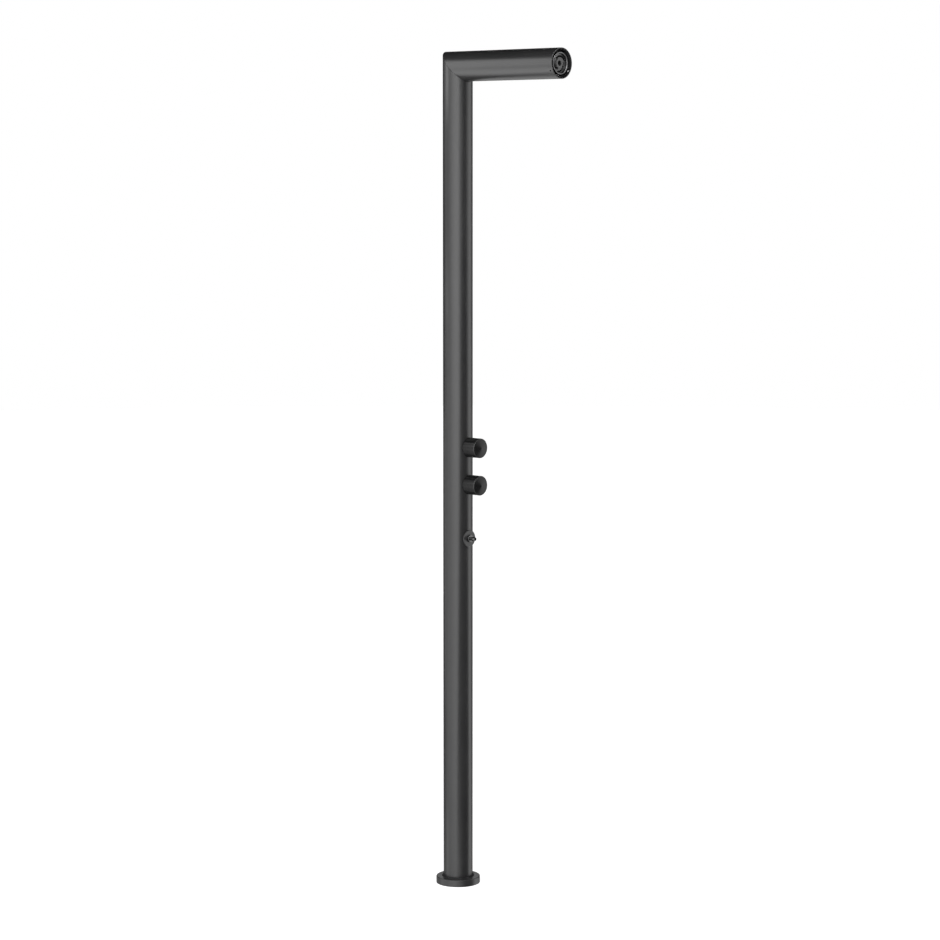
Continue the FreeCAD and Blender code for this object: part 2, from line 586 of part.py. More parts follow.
def control(name, height, rest_turn):
    """The other pieces of one control, from the seal on the chamber's floor to the knob."""
    node(ring(f"{name}_seal", f"port_circle / 2 + {port_r}", shell_r, "chamber_floor", shell_back,
              "0", "0", height, FORWARD))
    shell = turned(f"{name}_shell", [
        (shell_bore, shell_back),
        (shell_r, shell_back),
        (shell_r, shell_front),
        (f"{spindle_r} + running", shell_front),
        (f"{spindle_r} + running", shell_ceiling),
        (shell_bore, shell_ceiling),
    ], "0", "0", height, FORWARD)
    rib_back = f"({shell_ceiling} - stop_length)"
    rib_blank = sector(f"{name}_stop_rib_blank", f"{shell_bore} + cartridge_wall / 2", "stop_length",
                       f"360 - {stop_free}", value(stop_free), rib_back, height)
    rib_bore = rod(f"{name}_stop_rib_bore", "drum_dia / 2 + slip", "stop_length",
                   "0", f"-{rib_back}", height, FORWARD)
    node(joined(f"{name}_cartridge", [shell, cut(f"{name}_stop_rib", rib_blank, [rib_bore])]))
    stem = turned(f"{name}_stem", [
        ("0", drum_back),
        ("drum_dia / 2", drum_back),
        ("drum_dia / 2", drum_front),
        (spindle_r, drum_front),
        (spindle_r, f"{knob_ceiling} - knob_gap"),
        ("0", f"{knob_ceiling} - knob_gap"),
    ], "0", "0", height, FORWARD)
    lug = sector(f"{name}_stop_lug", f"{shell_bore} - slip", "stop_length", "stop_lug",
                 value("stop_play") + rest_turn, f"({drum_front} - stop_length)", height)
    tongue = crossbar(f"{name}_tongue", "drum_dia - tongue_width", "tongue_width", "tongue_height",
                      tongue_back, height)
    node(joined(f"{name}_spindle", [stem, lug, tongue]))
    node(turned(f"{name}_housing", [
        (f"{shell_r} + thread_fit", "chamber_floor"),
        ("housing_dia / 2", "chamber_floor"),
        ("housing_dia / 2", collar_front),
        ("flange_dia / 2", collar_front),
        ("flange_dia / 2", flange_front),
        (f"{shell_r} + thread_fit", flange_front),
    ], "0", "0", height, FORWARD))
    nut_solid = joined(f"{name}_nut_solid", [
        hexagon(f"{name}_nut_hexagon", "nut_flats", "nut_head", "0", f"-{flange_front}", height, FORWARD),
        rod(f"{name}_nut_thread", shell_r, "nut_tail", "0", f"-{shell_front}", height, FORWARD),
    ])
    nut_bore = rod(f"{name}_nut_bore", f"{spindle_r} + slip", "nut_tail + nut_head",
                   "0", f"-{shell_front}", height, FORWARD)
    node(cut(f"{name}_gland_nut", nut_solid, [nut_bore]))
    collar_blank = rod(f"{name}_collar_blank", "collar_dia / 2", collar_front, "0", "0", height, FORWARD)
    saddle = rod(f"{name}_saddle", f"{tube_r} + seat_gap", "2 * collar_dia", "0", "0", f"{height} - collar_dia")
    collar_bore = rod(f"{name}_collar_bore", housing_hole_r, collar_front, "0", "0", height, FORWARD)
    node(cut(f"{name}_collar", collar_blank, [saddle, collar_bore]))
    knob_blank = turned(f"{name}_knob_blank", [
        (f"{knob_r} - knob_wall", knob_back),
        (knob_r, knob_back),
        (knob_r, knob_rim),
        ("0", f"{knob_rim} + knob_crown"),
        ("0", f"{knob_ceiling}"),
        (f"{spindle_r} + thread_fit", knob_ceiling),
        (f"{spindle_r} + thread_fit", boss_back),
        ("knob_boss / 2", boss_back),
        ("knob_boss / 2", knob_ceiling),
        (f"{knob_r} - knob_wall", knob_ceiling),
    ], "0", "0", height, FORWARD)
    round_rims(knob_blank, "knob_edge", [(knob_r, knob_back), (knob_r, knob_rim)])
    grub_hole = rod(f"{name}_grub_hole", f"{grub_r} + thread_fit", f"{knob_r} - {spindle_r}",
                    "0", f"-{grub_station}", f"{height} - {knob_r}")
    node(cut(f"{name}_knob", knob_blank, [grub_hole]))
    grub_length = f"(knob_boss / 2 - {spindle_r} - thread_fit)"
    grub_low = f"({height} - knob_boss / 2)"
    grub_blank = rod(f"{name}_grub_blank", grub_r, grub_length, "0", f"-{grub_station}", grub_low)
    grub_key = hexagon(f"{name}_grub_key", "grub_socket", f"{grub_length} / 2",
                       "0", f"-{grub_station}", grub_low)
    node(cut(f"{name}_grub_screw", grub_blank, [grub_key]))


discs("mixer", "mixer_height", "mixer_cavity", 0)
control("mixer", "mixer_height", 0)
discs("diverter", diverter_height, "diverter_cavity", 90)
control("diverter", diverter_height, value("stop_travel") / 2)

# The supply: a hexagonal coupling for each hose at the foot and a pipe up to the valve body.
coupling_top = "(coupling_lift + coupling_length)"
pipe_low = f"({coupling_top} - socket_depth)"
for name, side in (("hot", "-"), ("cold", "")):
    x = f"{side}{pipe_x}"
    coupling_blank = hexagon(f"{name}_coupling_blank", "coupling_flats", "coupling_length",
                             x, "pipe_back", "coupling_lift")
    node(cut(f"{name}_inlet_coupling", coupling_blank, [
        rod(f"{name}_inlet_thread", "inlet_thread / 2", "inlet_depth", x, "pipe_back", "coupling_lift"),
        rod(f"{name}_inlet_bore", "pipe_dia / 2 - pipe_wall", "coupling_length",
            x, "pipe_back", "coupling_lift"),
        rod(f"{name}_inlet_socket", "pipe_dia / 2 + thread_fit", "socket_depth", x, "pipe_back", pipe_low),
    ]))
    node(ring(f"{name}_inlet_pipe", "pipe_dia / 2 - pipe_wall", "pipe_dia / 2",
              pipe_low, f"{valve_low} + socket_depth", x, "pipe_back"))


def spacer(name, height, holes):
    """A plastic disc that centres pipes in the tube."""
    body = new_body(name)
    outline = new_sketch(body, "XY_Plane", "outline")
    draw_circle(outline, valve_r)
    for radius, x, y in holes:
        draw_circle(outline, f"{radius} + thread_fit", x, y)
    pad(body, outline, "spacer_thickness")
    place(body, "0", "0", height, UP)
    return body


node(spacer("pipe_spacer", "pipe_spacer_height", [
    ("pipe_dia / 2", f"-{pipe_x}", "pipe_back"),
    ("pipe_dia / 2", pipe_x, "pipe_back"),
]))
node(spacer("riser_spacer", "riser_spacer_height", [("riser_dia / 2", "0", "riser_back")]))

# The riser: one bent pipe from the valve body up the column and along the arm to the head's carrier.
head_front = "(arm_reach - head_recess)"
head_back = f"({head_front} - head_depth)"
carrier_front = f"({head_back} - gasket_thickness)"
carrier_back = f"({carrier_front} - carrier_thickness)"
spigot_back = f"({carrier_back} - spigot_length)"
riser_low = f"({valve_high} - socket_depth)"
riser_rise = f"({arm_height} - riser_bend - {riser_low})"
riser_end = f"(riser_back + {spigot_back} + socket_depth)"
riser = node(new_body("riser_pipe"))
riser_section = new_sketch(riser, "XY_Plane", "section")
draw_circle(riser_section, "riser_dia / 2")
draw_circle(riser_section, "riser_dia / 2 - pipe_wall")
riser_path = new_sketch(riser, "YZ_Plane", "path")
bend_centre = Vector(-value("riser_bend"), value(riser_rise), 0)
bend_top = value(f"{riser_rise} + riser_bend")
riser_path.addGeometry(Part.LineSegment(Vector(0, 0, 0), Vector(0, value(riser_rise), 0)), False)
bend_circle = Part.Circle(bend_centre, Vector(0, 0, 1), value("riser_bend"))
riser_path.addGeometry(Part.ArcOfCircle(bend_circle, 0, math.pi / 2), False)
arm_run = Part.LineSegment(Vector(bend_centre.x, bend_top, 0), Vector(-value(riser_end), bend_top, 0))
riser_path.addGeometry(arm_run, False)
riser_path.addConstraint(Sketcher.Constraint("Coincident", 0, 2, 1, 1))
riser_path.addConstraint(Sketcher.Constraint("Coincident", 1, 2, 2, 1))
pin_point(riser_path, 0, 1, "0", "0")
pin_point(riser_path, 0, 2, "0", riser_rise)
pin_point(riser_path, 2, 1, "-riser_bend", f"{riser_rise} + riser_bend")
pin_point(riser_path, 2, 2, f"-{riser_end}", f"{riser_rise} + riser_bend")
dimension(riser_path, "Radius", (1,), "riser_bend")
riser_sweep = riser.newObject("PartDesign::AdditivePipe", "riser_sweep")
riser_sweep.Profile = riser_section
riser_sweep.Spine = (riser_path, ["Edge1", "Edge2", "Edge3"])
place(riser, "0", "riser_back", riser_low, UP)

# The hose outlet: a flat rosette on a saddle seat, and a nipple screwed through the tube into an elbow.
disc_front = f"({tube_r} + outlet_disc_rise)"
disc_back = f"({disc_front} - outlet_disc_thickness)"
flange_back = f"({disc_front} + washer_thickness)"
neck_back = f"({flange_back} + nipple_flange)"
groove_back = f"({neck_back} + nipple_neck)"
plug_back = f"({groove_back} + nipple_groove)"
nose_back = f"({plug_back} + nipple_plug)"
nose_front = f"({nose_back} + nipple_nose)"
shank_back = f"({flange_back} - nipple_shank_length)"
elbow_front = f"sqrt({bore_r} * {bore_r} - elbow_dia * elbow_dia / 4) - seat_gap"
disc_blank = turned("outlet_disc_blank", [
    (outlet_hole_r, "0"),
    ("outlet_seat_dia / 2", "0"),
    ("outlet_seat_dia / 2", disc_back),
    ("outlet_disc_dia / 2", disc_back),
    ("outlet_disc_dia / 2", disc_front),
    (outlet_hole_r, disc_front),
], "0", "0", outlet_height, FORWARD)
round_rims(disc_blank, "outlet_disc_edge", [("outlet_disc_dia / 2", disc_front)])
disc_saddle = rod("outlet_disc_saddle", f"{tube_r} + seat_gap", "2 * outlet_disc_dia", "0", "0",
                  f"{outlet_height} - outlet_disc_dia")
node(cut("outlet_rosette", disc_blank, [disc_saddle]))
node(ring("outlet_washer", outlet_hole_r, "nipple_flange_dia / 2", disc_front, flange_back,
          "0", "0", outlet_height, FORWARD))
node(turned("outlet_nipple", [
    ("nipple_bore / 2", shank_back),
    ("nipple_shank / 2", shank_back),
    ("nipple_shank / 2", flange_back),
    ("nipple_flange_dia / 2", flange_back),
    ("nipple_flange_dia / 2", neck_back),
    ("nipple_neck_dia / 2", neck_back),
    ("nipple_neck_dia / 2", groove_back),
    ("nipple_groove_dia / 2", groove_back),
    ("nipple_groove_dia / 2", plug_back),
    ("nipple_plug_dia / 2", plug_back),
    ("nipple_plug_dia / 2", nose_back),
    ("nipple_nose_dia / 2", nose_front),
    ("nipple_bore / 2", nose_front),
], "0", "0", outlet_height, FORWARD))
elbow_back = "(outlet_pipe_forward - elbow_dia / 2)"
elbow_socket_r = "(outlet_pipe_dia / 2 + socket_wall)"
elbow_top = f"({outlet_height} + elbow_rise)"
elbow_solid = joined("elbow_solid", [
    rod("elbow_boss", "elbow_dia / 2", f"{elbow_front} - {elbow_back}",
        "0", f"-{elbow_back}", outlet_height, FORWARD),
    rod("elbow_socket", elbow_socket_r, "elbow_rise", "0", "-outlet_pipe_forward", outlet_height),
])
node(cut("outlet_elbow", elbow_solid, [
    rod("elbow_thread", "nipple_shank / 2 + thread_fit", f"{elbow_front} - outlet_pipe_forward",
        "0", "-outlet_pipe_forward", outlet_height, FORWARD),
    rod("elbow_bore", "outlet_pipe_dia / 2 - pipe_wall", "elbow_rise",
        "0", "-outlet_pipe_forward", outlet_height),
    rod("elbow_pipe_seat", "outlet_pipe_dia / 2 + thread_fit", "socket_depth", "0", "-outlet_pipe_forward",
        f"{elbow_top} - socket_depth"),
]))
node(ring("outlet_pipe", "outlet_pipe_dia / 2 - pipe_wall", "outlet_pipe_dia / 2",
          f"{elbow_top} - socket_depth", f"{valve_low} + socket_depth", "0", "-outlet_pipe_forward"))

# The spray head: a cup screwed into a carrier that is bonded in the arm, with a swirl insert in its mouth.
head_r = "(head_dia / 2)"
mouth_r = f"({head_r} - head_wall)"
chamber_wall_r = f"({mouth_r} - insert_seat)"
insert_front = f"({head_front} - insert_recess)"
insert_back = f"({insert_front} - insert_thickness)"
tail_back = f"({head_back} - tail_length)"
water_r = "(riser_dia / 2 - pipe_wall)"
node(turned("head_carrier", [
    (water_r, spigot_back + " + socket_depth"),
    (riser_socket_r, spigot_back + " + socket_depth"),
    (riser_socket_r, spigot_back),
    ("spigot_dia / 2", spigot_back),
    ("spigot_dia / 2", carrier_back),
    (f"{bore_r} - seat_gap", carrier_back),
    (f"{bore_r} - seat_gap", carrier_front),
    ("tail_dia / 2 + thread_fit", carrier_front),
    ("tail_dia / 2 + thread_fit", tail_back),
    (water_r, tail_back),
], "0", "0", arm_height, FORWARD))
node(ring("head_gasket", "tail_dia / 2 + slip", head_r, carrier_front, head_back,
          "0", "0", arm_height, FORWARD))
head = node(turned("head_body", [
    (water_r, tail_back),
    ("tail_dia / 2", tail_back),
    ("tail_dia / 2", head_back),
    (head_r, head_back),
    (head_r, head_front),
    (mouth_r, head_front),
    (mouth_r, insert_back),
    (chamber_wall_r, insert_back),
    (chamber_wall_r, f"{head_back} + head_floor"),
    (water_r, f"{head_back} + head_floor"),
], "0", "0", arm_height, FORWARD))
round_rims(head, "head_edge", [(head_r, head_front), (mouth_r, head_front)])
insert_blank = turned("insert_blank", [
    ("hub_bore / 2", insert_back),
    (f"{mouth_r} - thread_fit", insert_back),
    (f"{mouth_r} - thread_fit", insert_front),
    ("hub_dia / 2", insert_front),
    ("hub_dia / 2", f"{insert_front} + hub_rise"),
    ("hub_bore / 2", f"{insert_front} + hub_rise"),
], "0", "0", arm_height, FORWARD)


def swirl_slot(turn):
    """A slot that spirals from the hub out to the rim, as a cutter right through the insert."""
    half = value("slot_width") / 2
    sweep = math.radians(value("slot_sweep"))

    def point(share, offset, overrun=0.0):
        radius = value("slot_inner") + share * value("slot_outer - slot_inner")
        angle = math.radians(value("slot_start") + turn) - share * sweep + overrun / radius
        return Vector((radius + offset) * math.cos(angle), (radius + offset) * math.sin(angle), 0)

    outline = Part.Wire([
        Part.Arc(point(0, half), point(0.5, half), point(1, half)).toShape(),
        Part.Arc(point(1, half), point(1, 0, -half), point(1, -half)).toShape(),
        Part.Arc(point(1, -half), point(0.5, -half), point(0, -half)).toShape(),
        Part.Arc(point(0, -half), point(0, 0, half), point(0, half)).toShape(),
    ])
    return Part.Face(outline).extrude(Vector(0, 0, value("insert_thickness + hub_rise")))


slots = []
for index in range(round(value("slot_count"))):
    slot = doc.addObject("Part::Feature", f"swirl_slot_{index + 1}")
    slot.Shape = swirl_slot(360 / value("slot_count") * index)
    slot.Placement = Placement(Vector(0, -value(insert_back), value(arm_height)), FORWARD)
    slots.append(slot)
node(cut("spray_insert", insert_blank, slots))

doc.recompute()
for item in doc.Objects:
    if "Invalid" in item.State or "Error" in item.State:
        raise RuntimeError(f"{item.Name} failed: {item.State}")
os.makedirs("parts", exist_ok=True)
for item in nodes:
    shape = item.Shape
    if shape.isNull() or not shape.isValid() or not shape.Solids:
        raise RuntimeError(f"{item.Label} has no valid solid")
for item in nodes:
    item.Shape.exportStep(f"parts/{item.Label}.step")
    print(f"{item.Label}: {len(item.Shape.Solids)} solid, {item.Shape.Volume / 1000:.2f} cm3")
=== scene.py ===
"""Free-standing shower column: the dressed model and a plain studio.

The sections follow the column as it is put together. Sizes are in millimetres, as on a maker's drawing, and
become metres where a mesh is made. The studio is in metres. +Z is up, the arm and the controls face -Y, and
a station is a distance in front of the column's axis.
"""
import math

import bmesh
import bpy
from mathutils import Matrix, Vector


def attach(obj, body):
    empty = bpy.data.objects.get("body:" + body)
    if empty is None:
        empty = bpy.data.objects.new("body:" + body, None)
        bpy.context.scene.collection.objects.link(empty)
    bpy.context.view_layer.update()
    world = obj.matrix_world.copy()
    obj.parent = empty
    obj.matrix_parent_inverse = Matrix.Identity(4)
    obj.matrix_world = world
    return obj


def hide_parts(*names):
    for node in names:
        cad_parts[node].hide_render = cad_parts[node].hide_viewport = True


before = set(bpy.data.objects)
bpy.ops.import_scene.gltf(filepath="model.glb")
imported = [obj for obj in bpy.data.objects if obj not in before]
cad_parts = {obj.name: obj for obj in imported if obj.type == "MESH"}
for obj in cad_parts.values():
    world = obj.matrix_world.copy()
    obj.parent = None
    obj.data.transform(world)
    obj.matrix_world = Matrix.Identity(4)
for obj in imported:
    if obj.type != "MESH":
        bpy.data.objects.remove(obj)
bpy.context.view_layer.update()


# Anchor plate: a disc of rolled steel that is bolted to the floor and welded to the tube's foot.
# Its faces are brushed one way across the plate, and patches of dark mill skin are left on them.
plate_bright, plate_skin = (0.46, 0.46, 0.47), (0.2, 0.2, 0.22)


class Signal:
    """A socket of a node tree. Sums and products add Math nodes, and node() adds any other kind of node."""

    def __init__(self, tree, socket=None):
        self.tree = tree
        self.socket = socket

    def node(self, kind, settings, sockets, output=0):
        """Adds a node, sets it, joins or sets its sockets, and gives the signal of one output."""
        made = self.tree.nodes.new(kind)
        for name, setting in settings.items():
            setattr(made, name, setting)
        for name, sources in sockets.items():
            for source in sources if isinstance(sources, list) else [sources]:
                if isinstance(source, Signal):
                    self.tree.links.new(source.socket, made.inputs[name])
                else:
                    made.inputs[name].default_value = source
        return Signal(self.tree, made.outputs[output])

    def math(self, operation, first, second=0.0):
        return self.node("ShaderNodeMath", {"operation": operation}, {0: first, 1: second})

    def __add__(self, other):
        return self.math("ADD", self, other)

    def __radd__(self, other):
        return self.math("ADD", other, self)

    def __sub__(self, other):
        return self.math("SUBTRACT", self, other)

    def __rsub__(self, other):
        return self.math("SUBTRACT", other, self)

    def __mul__(self, other):
        return self.math("MULTIPLY", self, other)

    def __rmul__(self, other):
        return self.math("MULTIPLY", other, self)

    def above(self, low, high):
        """0 below the low value, 1 above the high one, and a soft step between."""
        return self.node("ShaderNodeMapRange", {"interpolation_type": "SMOOTHSTEP"},
                         {"Value": self, "From Min": low, "From Max": high})

    def between(self, first, second):
        """The colour that this signal blends from the first one, at 0, to the second, at 1."""
        return self.node("ShaderNodeMix", {"data_type": "RGBA"},
                         {0: self, 6: (*first, 1), 7: (*second, 1)}, 2)

    def noise(self, scale, detail=2.0):
        """Noise over a place, with about scale lumps to the metre."""
        return self.node("ShaderNodeTexNoise", {}, {"Vector": self, "Scale": scale, "Detail": detail})

    def shifted(self, location, scale):
        """A place stretched by a scale, then moved."""
        return self.node("ShaderNodeMapping", {}, {"Vector": self, "Location": location, "Scale": scale})


def start_finish(name, uniform):
    """A new material, its uniform values set on the shader, and the signal of a point's place in metres."""
    finish = bpy.data.materials.new(name)
    finish.use_nodes = True
    tree = finish.node_tree
    for socket, setting in uniform.items():
        tree.nodes["Principled BSDF"].inputs[socket].default_value = setting
    return finish, Signal(tree).node("ShaderNodeTexCoord", {}, {}, "Object")


def feed(finish, socket, signal):
    """Joins a signal to a socket of a material's shader."""
    tree = finish.node_tree
    tree.links.new(signal.socket, tree.nodes["Principled BSDF"].inputs[socket])


def lay_finish(finish, colour, roughness, relief, depth):
    """Gives a material its colour and roughness, and a relief of that depth in millimetres."""
    bump = relief.node("ShaderNodeBump", {}, {"Strength": 1.0, "Distance": depth / 1000, "Height": relief})
    feed(finish, "Base Color", colour)
    feed(finish, "Roughness", roughness)
    feed(finish, "Normal", bump)


def dress(finish, *nodes):
    """Gives nodes of the frame, whose shape is right as it is, their finish."""
    for node in nodes:
        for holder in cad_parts[node].material_slots:
            holder.material = finish


plate_steel, place = start_finish("rolled steel plate", {"Metallic": 1.0})
brushing = place.shifted((0, 0, 0), (12, 900, 900)).noise(1.0, 3)
skin = place.noise(28, 4).above(0.5, 0.62)
lay_finish(
    plate_steel,
    colour=(skin * 0.8 + brushing * 0.2).between(plate_bright, plate_skin),
    roughness=0.26 + 0.2 * brushing + 0.16 * skin,
    relief=brushing - 0.3 * skin,
    depth=0.02)
dress(plate_steel, "anchor_plate")


# Column and arm: one round steel tube and a short one of the same size, mitred at 45 degrees and welded.
# The joint shows as a fine groove, two drain holes are bored near the arm's end, and all is powder coated.
overall_height, arm_end, tube_r, tube_wall, tube_foot = 2150.0, 350.0, 38.05, 2.0, 8.0
bore_r, arm_height = tube_r - tube_wall, overall_height - tube_r
column_rings, arm_rings = (20, 900, 1040, 1140, 1180, 2000), (120, 240, 334, 348.5)
joint_width, joint_depth, joint_land = 0.6, 0.5, 0.6
end_edge, edge_steps = 0.4, 4
drain_r, drain_depth, drain_station, drain_drop = 2.25, 12, arm_end - 7.3, math.radians(30)
tube_sides, bore_sides = 192, 40
same_point, crease = 1e-7, math.radians(30)
coat_dark, coat_light = (0.0185, 0.0185, 0.019), (0.0265, 0.0265, 0.027)


def arc(start, end, steps):
    """The points of an arc from one angle to another, in equal steps, as (cosine, sine)."""
    angles = [math.radians(start + (end - start) * k / steps) for k in range(steps + 1)]
    return [(math.cos(a), math.sin(a)) for a in angles]


def tube_line(radius, angle, groove):
    """A line along the bent tube's wall: up the column, through the joint's groove, out along the arm."""
    x, reach = radius * math.sin(angle), radius * math.cos(angle)
    low_x, low_reach = (radius - groove) * math.sin(angle), (radius - groove) * math.cos(angle)
    mitre = arm_height + reach
    levels = (tube_foot, *column_rings, mitre - joint_width - joint_land, mitre - joint_width)
    stations = (joint_width - reach + joint_land, *arm_rings)
    line = [(x, reach, level) for level in levels]
    line += [(low_x, low_reach, arm_height + low_reach), (x, reach - joint_width, mitre)]
    return line + [(x, -station, mitre) for station in stations]


def placed(name, shape):
    """A new object with this shape, at the origin."""
    mesh = bpy.data.meshes.new(name)
    shape.to_mesh(mesh)
    shape.free()
    thing = bpy.data.objects.new(name, mesh)
    bpy.context.scene.collection.objects.link(thing)
    return thing


def bore_rod(name, radius, length, centre, direction):
    """A round cutter for a drilled hole."""
    shape = bmesh.new()
    turn = Vector(direction).to_track_quat("Z", "Y").to_matrix().to_4x4()
    bmesh.ops.create_cone(
        shape, cap_ends=True, segments=bore_sides, radius1=radius / 1000, radius2=radius / 1000,
        depth=length / 1000, matrix=Matrix.Translation(Vector(centre) / 1000) @ turn)
    return placed(name, shape)


def baked(thing):
    """Applies an object's modifiers, so that it is a plain mesh."""
    mesh = bpy.data.meshes.new_from_object(thing.evaluated_get(bpy.context.evaluated_depsgraph_get()))
    thing.modifiers.clear()
    thing.data = mesh


def smoothed(piece):
    """Smooths a piece's faces into each other, apart from edges past the crease angle."""
    piece.data.shade_smooth()
    piece.data.set_sharp_from_angle(angle=crease)
    piece.modifiers.new("smoothing", "WEIGHTED_NORMAL").keep_sharp = True
    baked(piece)


def finished(name, shape, finish, holes=()):
    """A piece from its shape, with its holes drilled, smoothed and given its finish."""
    bmesh.ops.remove_doubles(shape, verts=shape.verts, dist=same_point)
    bmesh.ops.recalc_face_normals(shape, faces=shape.faces)
    piece = placed(name, shape)
    for hole in holes:
        drilling = piece.modifiers.new("drilling", "BOOLEAN")
        drilling.object, drilling.operation, drilling.solver = hole, "DIFFERENCE", "EXACT"
    baked(piece)
    for hole in holes:
        bpy.data.objects.remove(hole)
    smoothed(piece)
    piece.data.materials.clear()
    piece.data.materials.append(finish)
    return piece


def fitted(piece, body, slot, *nodes):
    """Sets a piece on the body that carries it, in the place of the frame's nodes."""
    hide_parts(*nodes)
    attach(piece, body)


anthracite, place = start_finish("anthracite powder coat", {"Specular IOR Level": 0.5})
grain = place.noise(1500, 2)
peel = place.noise(320, 2)
cloud = place.noise(7, 3)
lay_finish(
    anthracite,
    colour=(0.55 * grain + 0.45 * cloud).above(0.3, 0.7).between(coat_dark, coat_light),
    roughness=0.25 + 0.08 * peel + 0.05 * cloud,
    relief=peel + 0.35 * grain,
    depth=0.035)

rim = []
for middle, start in ((tube_r - end_edge, 0), (bore_r + end_edge, 90)):
    for c, s in arc(start, start + 90, edge_steps):
        rim.append((middle + end_edge * c, arm_end - end_edge + end_edge * s))
tube = bmesh.new()
lines = []
for k in range(tube_sides):
    angle = math.tau * k / tube_sides
    outside = tube_line(tube_r, angle, joint_depth)
    inside = tube_line(bore_r, angle, 0)
    end = [(r * math.sin(angle), -station, arm_height + r * math.cos(angle)) for r, station in rim]
    lines.append([tube.verts.new(Vector(p) / 1000) for p in outside + end + inside[::-1]])
for line, following in zip(lines, lines[1:] + lines[:1]):
    for j in range(len(line)):
        i = (j + 1) % len(line)
        tube.faces.new((line[j], following[j], following[i], line[i]))
drains = []
for side in (-1, 1):
    out = Vector((side * math.cos(drain_drop), 0, -math.sin(drain_drop)))
    middle = Vector((0, -drain_station, arm_height)) + out * tube_r
    drains.append(bore_rod("drain", drain_r, drain_depth, middle, out))
column = finished("column_and_arm", tube, anthracite, drains)
fitted(column, "column", "anthracite_coat", "column_tube", "arm_tube")


# Supply: hexagonal couplings for two hoses at the foot, pipes up to the valve, and a riser to the head.
# They and the valve's turned fittings are brass with fine rings left in it, dulled in patches by handling.
brass_bright, brass_dull = (0.66, 0.49, 0.2), (0.42, 0.29, 0.12)

turned_brass, place = start_finish("turned brass", {"Metallic": 1.0})
rings = place.shifted((0, 0, 0), (30, 30, 2400)).noise(1.0, 2)
dulling = place.noise(60, 4).above(0.45, 0.75)
lay_finish(
    turned_brass,
    colour=(0.7 * dulling + 0.3 * rings).between(brass_bright, brass_dull),
    roughness=0.2 + 0.14 * rings + 0.22 * dulling,
    relief=rings,
    depth=0.012)
dress(turned_brass, "hot_inlet_coupling", "cold_inlet_coupling", "hot_inlet_pipe", "cold_inlet_pipe",
      "riser_pipe", "outlet_pipe", "mixer_housing", "diverter_housing",
      "mixer_gland_nut", "diverter_gland_nut", "mixer_spindle", "diverter_spindle")


# Spacers, cartridge shells and the head's carrier: grey moulded plastic, pushed or bonded in place.
# The skin of the mould is finely pitted, with faint paler flow marks.
plastic_grey, plastic_pale = (0.26, 0.26, 0.27), (0.36, 0.36, 0.365)

grey_plastic, place = start_finish("grey moulded plastic", {})
pits = place.noise(1100, 2)
flow = place.shifted((0, 0, 0), (18, 18, 70)).noise(1.0, 3)
lay_finish(
    grey_plastic,
    colour=(0.3 * pits + 0.7 * flow).above(0.3, 0.75).between(plastic_grey, plastic_pale),
    roughness=0.42 + 0.16 * pits,
    relief=pits,
    depth=0.03)
dress(grey_plastic, "pipe_spacer", "riser_spacer", "mixer_cartridge", "diverter_cartridge", "head_carrier")


# Valve body and the outlet's elbow: sand-cast brass, tumbled, then drilled through for the water ways.
# The cast skin is grainy, with darker patches of tarnish.
cast_bright, cast_dark = (0.6, 0.43, 0.18), (0.3, 0.2, 0.09)

cast_brass, place = start_finish("cast brass", {"Metallic": 1.0})
sand = place.noise(750, 4)
tarnish = place.noise(45, 4).above(0.4, 0.7)
lay_finish(
    cast_brass,
    colour=(0.45 * sand + 0.55 * tarnish).between(cast_bright, cast_dark),
    roughness=0.36 + 0.2 * sand + 0.12 * tarnish,
    relief=sand,
    depth=0.12)
dress(cast_brass, "valve_body", "outlet_elbow")


# Ceramic discs of the two cartridges: white, lapped flat against each other, with a faint speckle.
# Lapping leaves them nearly polished, with a trace of grease in patches.
ceramic_white, ceramic_speck = (0.8, 0.79, 0.75), (0.66, 0.64, 0.59)

ceramic, place = start_finish("white ceramic", {"Specular IOR Level": 0.6})
speckle = place.noise(2200, 1).above(0.6, 0.68)
grease = place.noise(140, 2)
lay_finish(
    ceramic,
    colour=speckle.between(ceramic_white, ceramic_speck),
    roughness=0.08 + 0.18 * grease,
    relief=grease,
    depth=0.004)
dress(ceramic, "mixer_fixed_disc", "mixer_moving_disc", "diverter_fixed_disc", "diverter_moving_disc")


# Cartridge seals and the head's gasket: black rubber rings, squeezed between their seats.
# Matt, with a fine grain and a thin grey bloom.
rubber_black, rubber_bloom = (0.011, 0.011, 0.012), (0.028, 0.028, 0.028)

rubber, place = start_finish("black rubber", {"Specular IOR Level": 0.35})
grain = place.noise(1800, 2)
bloom = place.noise(90, 4).above(0.45, 0.8)
lay_finish(
    rubber,
    colour=bloom.between(rubber_black, rubber_bloom),
    roughness=0.62 + 0.2 * grain,
    relief=grain,
    depth=0.04)
dress(rubber, "mixer_seal", "diverter_seal", "head_gasket")


# Saddle collars: a ring behind each knob whose back is cut to the tube's curve, turned and coated black.
# The cartridge's housing passes through it and its flange clamps it to the tube. The knobs share the black.
controls = {"mixer": 1146.0, "diverter": 1050.0}
collar_r, collar_hole_r, collar_front = 20.0, 17.5, tube_r + 1.0
collar_edge, collar_hole_edge, collar_steps = 0.4, 0.2, 4
seat_gap, flat_back = 0.1, 1e-6
turned_sides, round_steps = 128, 5
marks_per_mm = 2.6
black_dark, black_light = (0.0048, 0.0048, 0.0049), (0.0075, 0.0075, 0.0077)


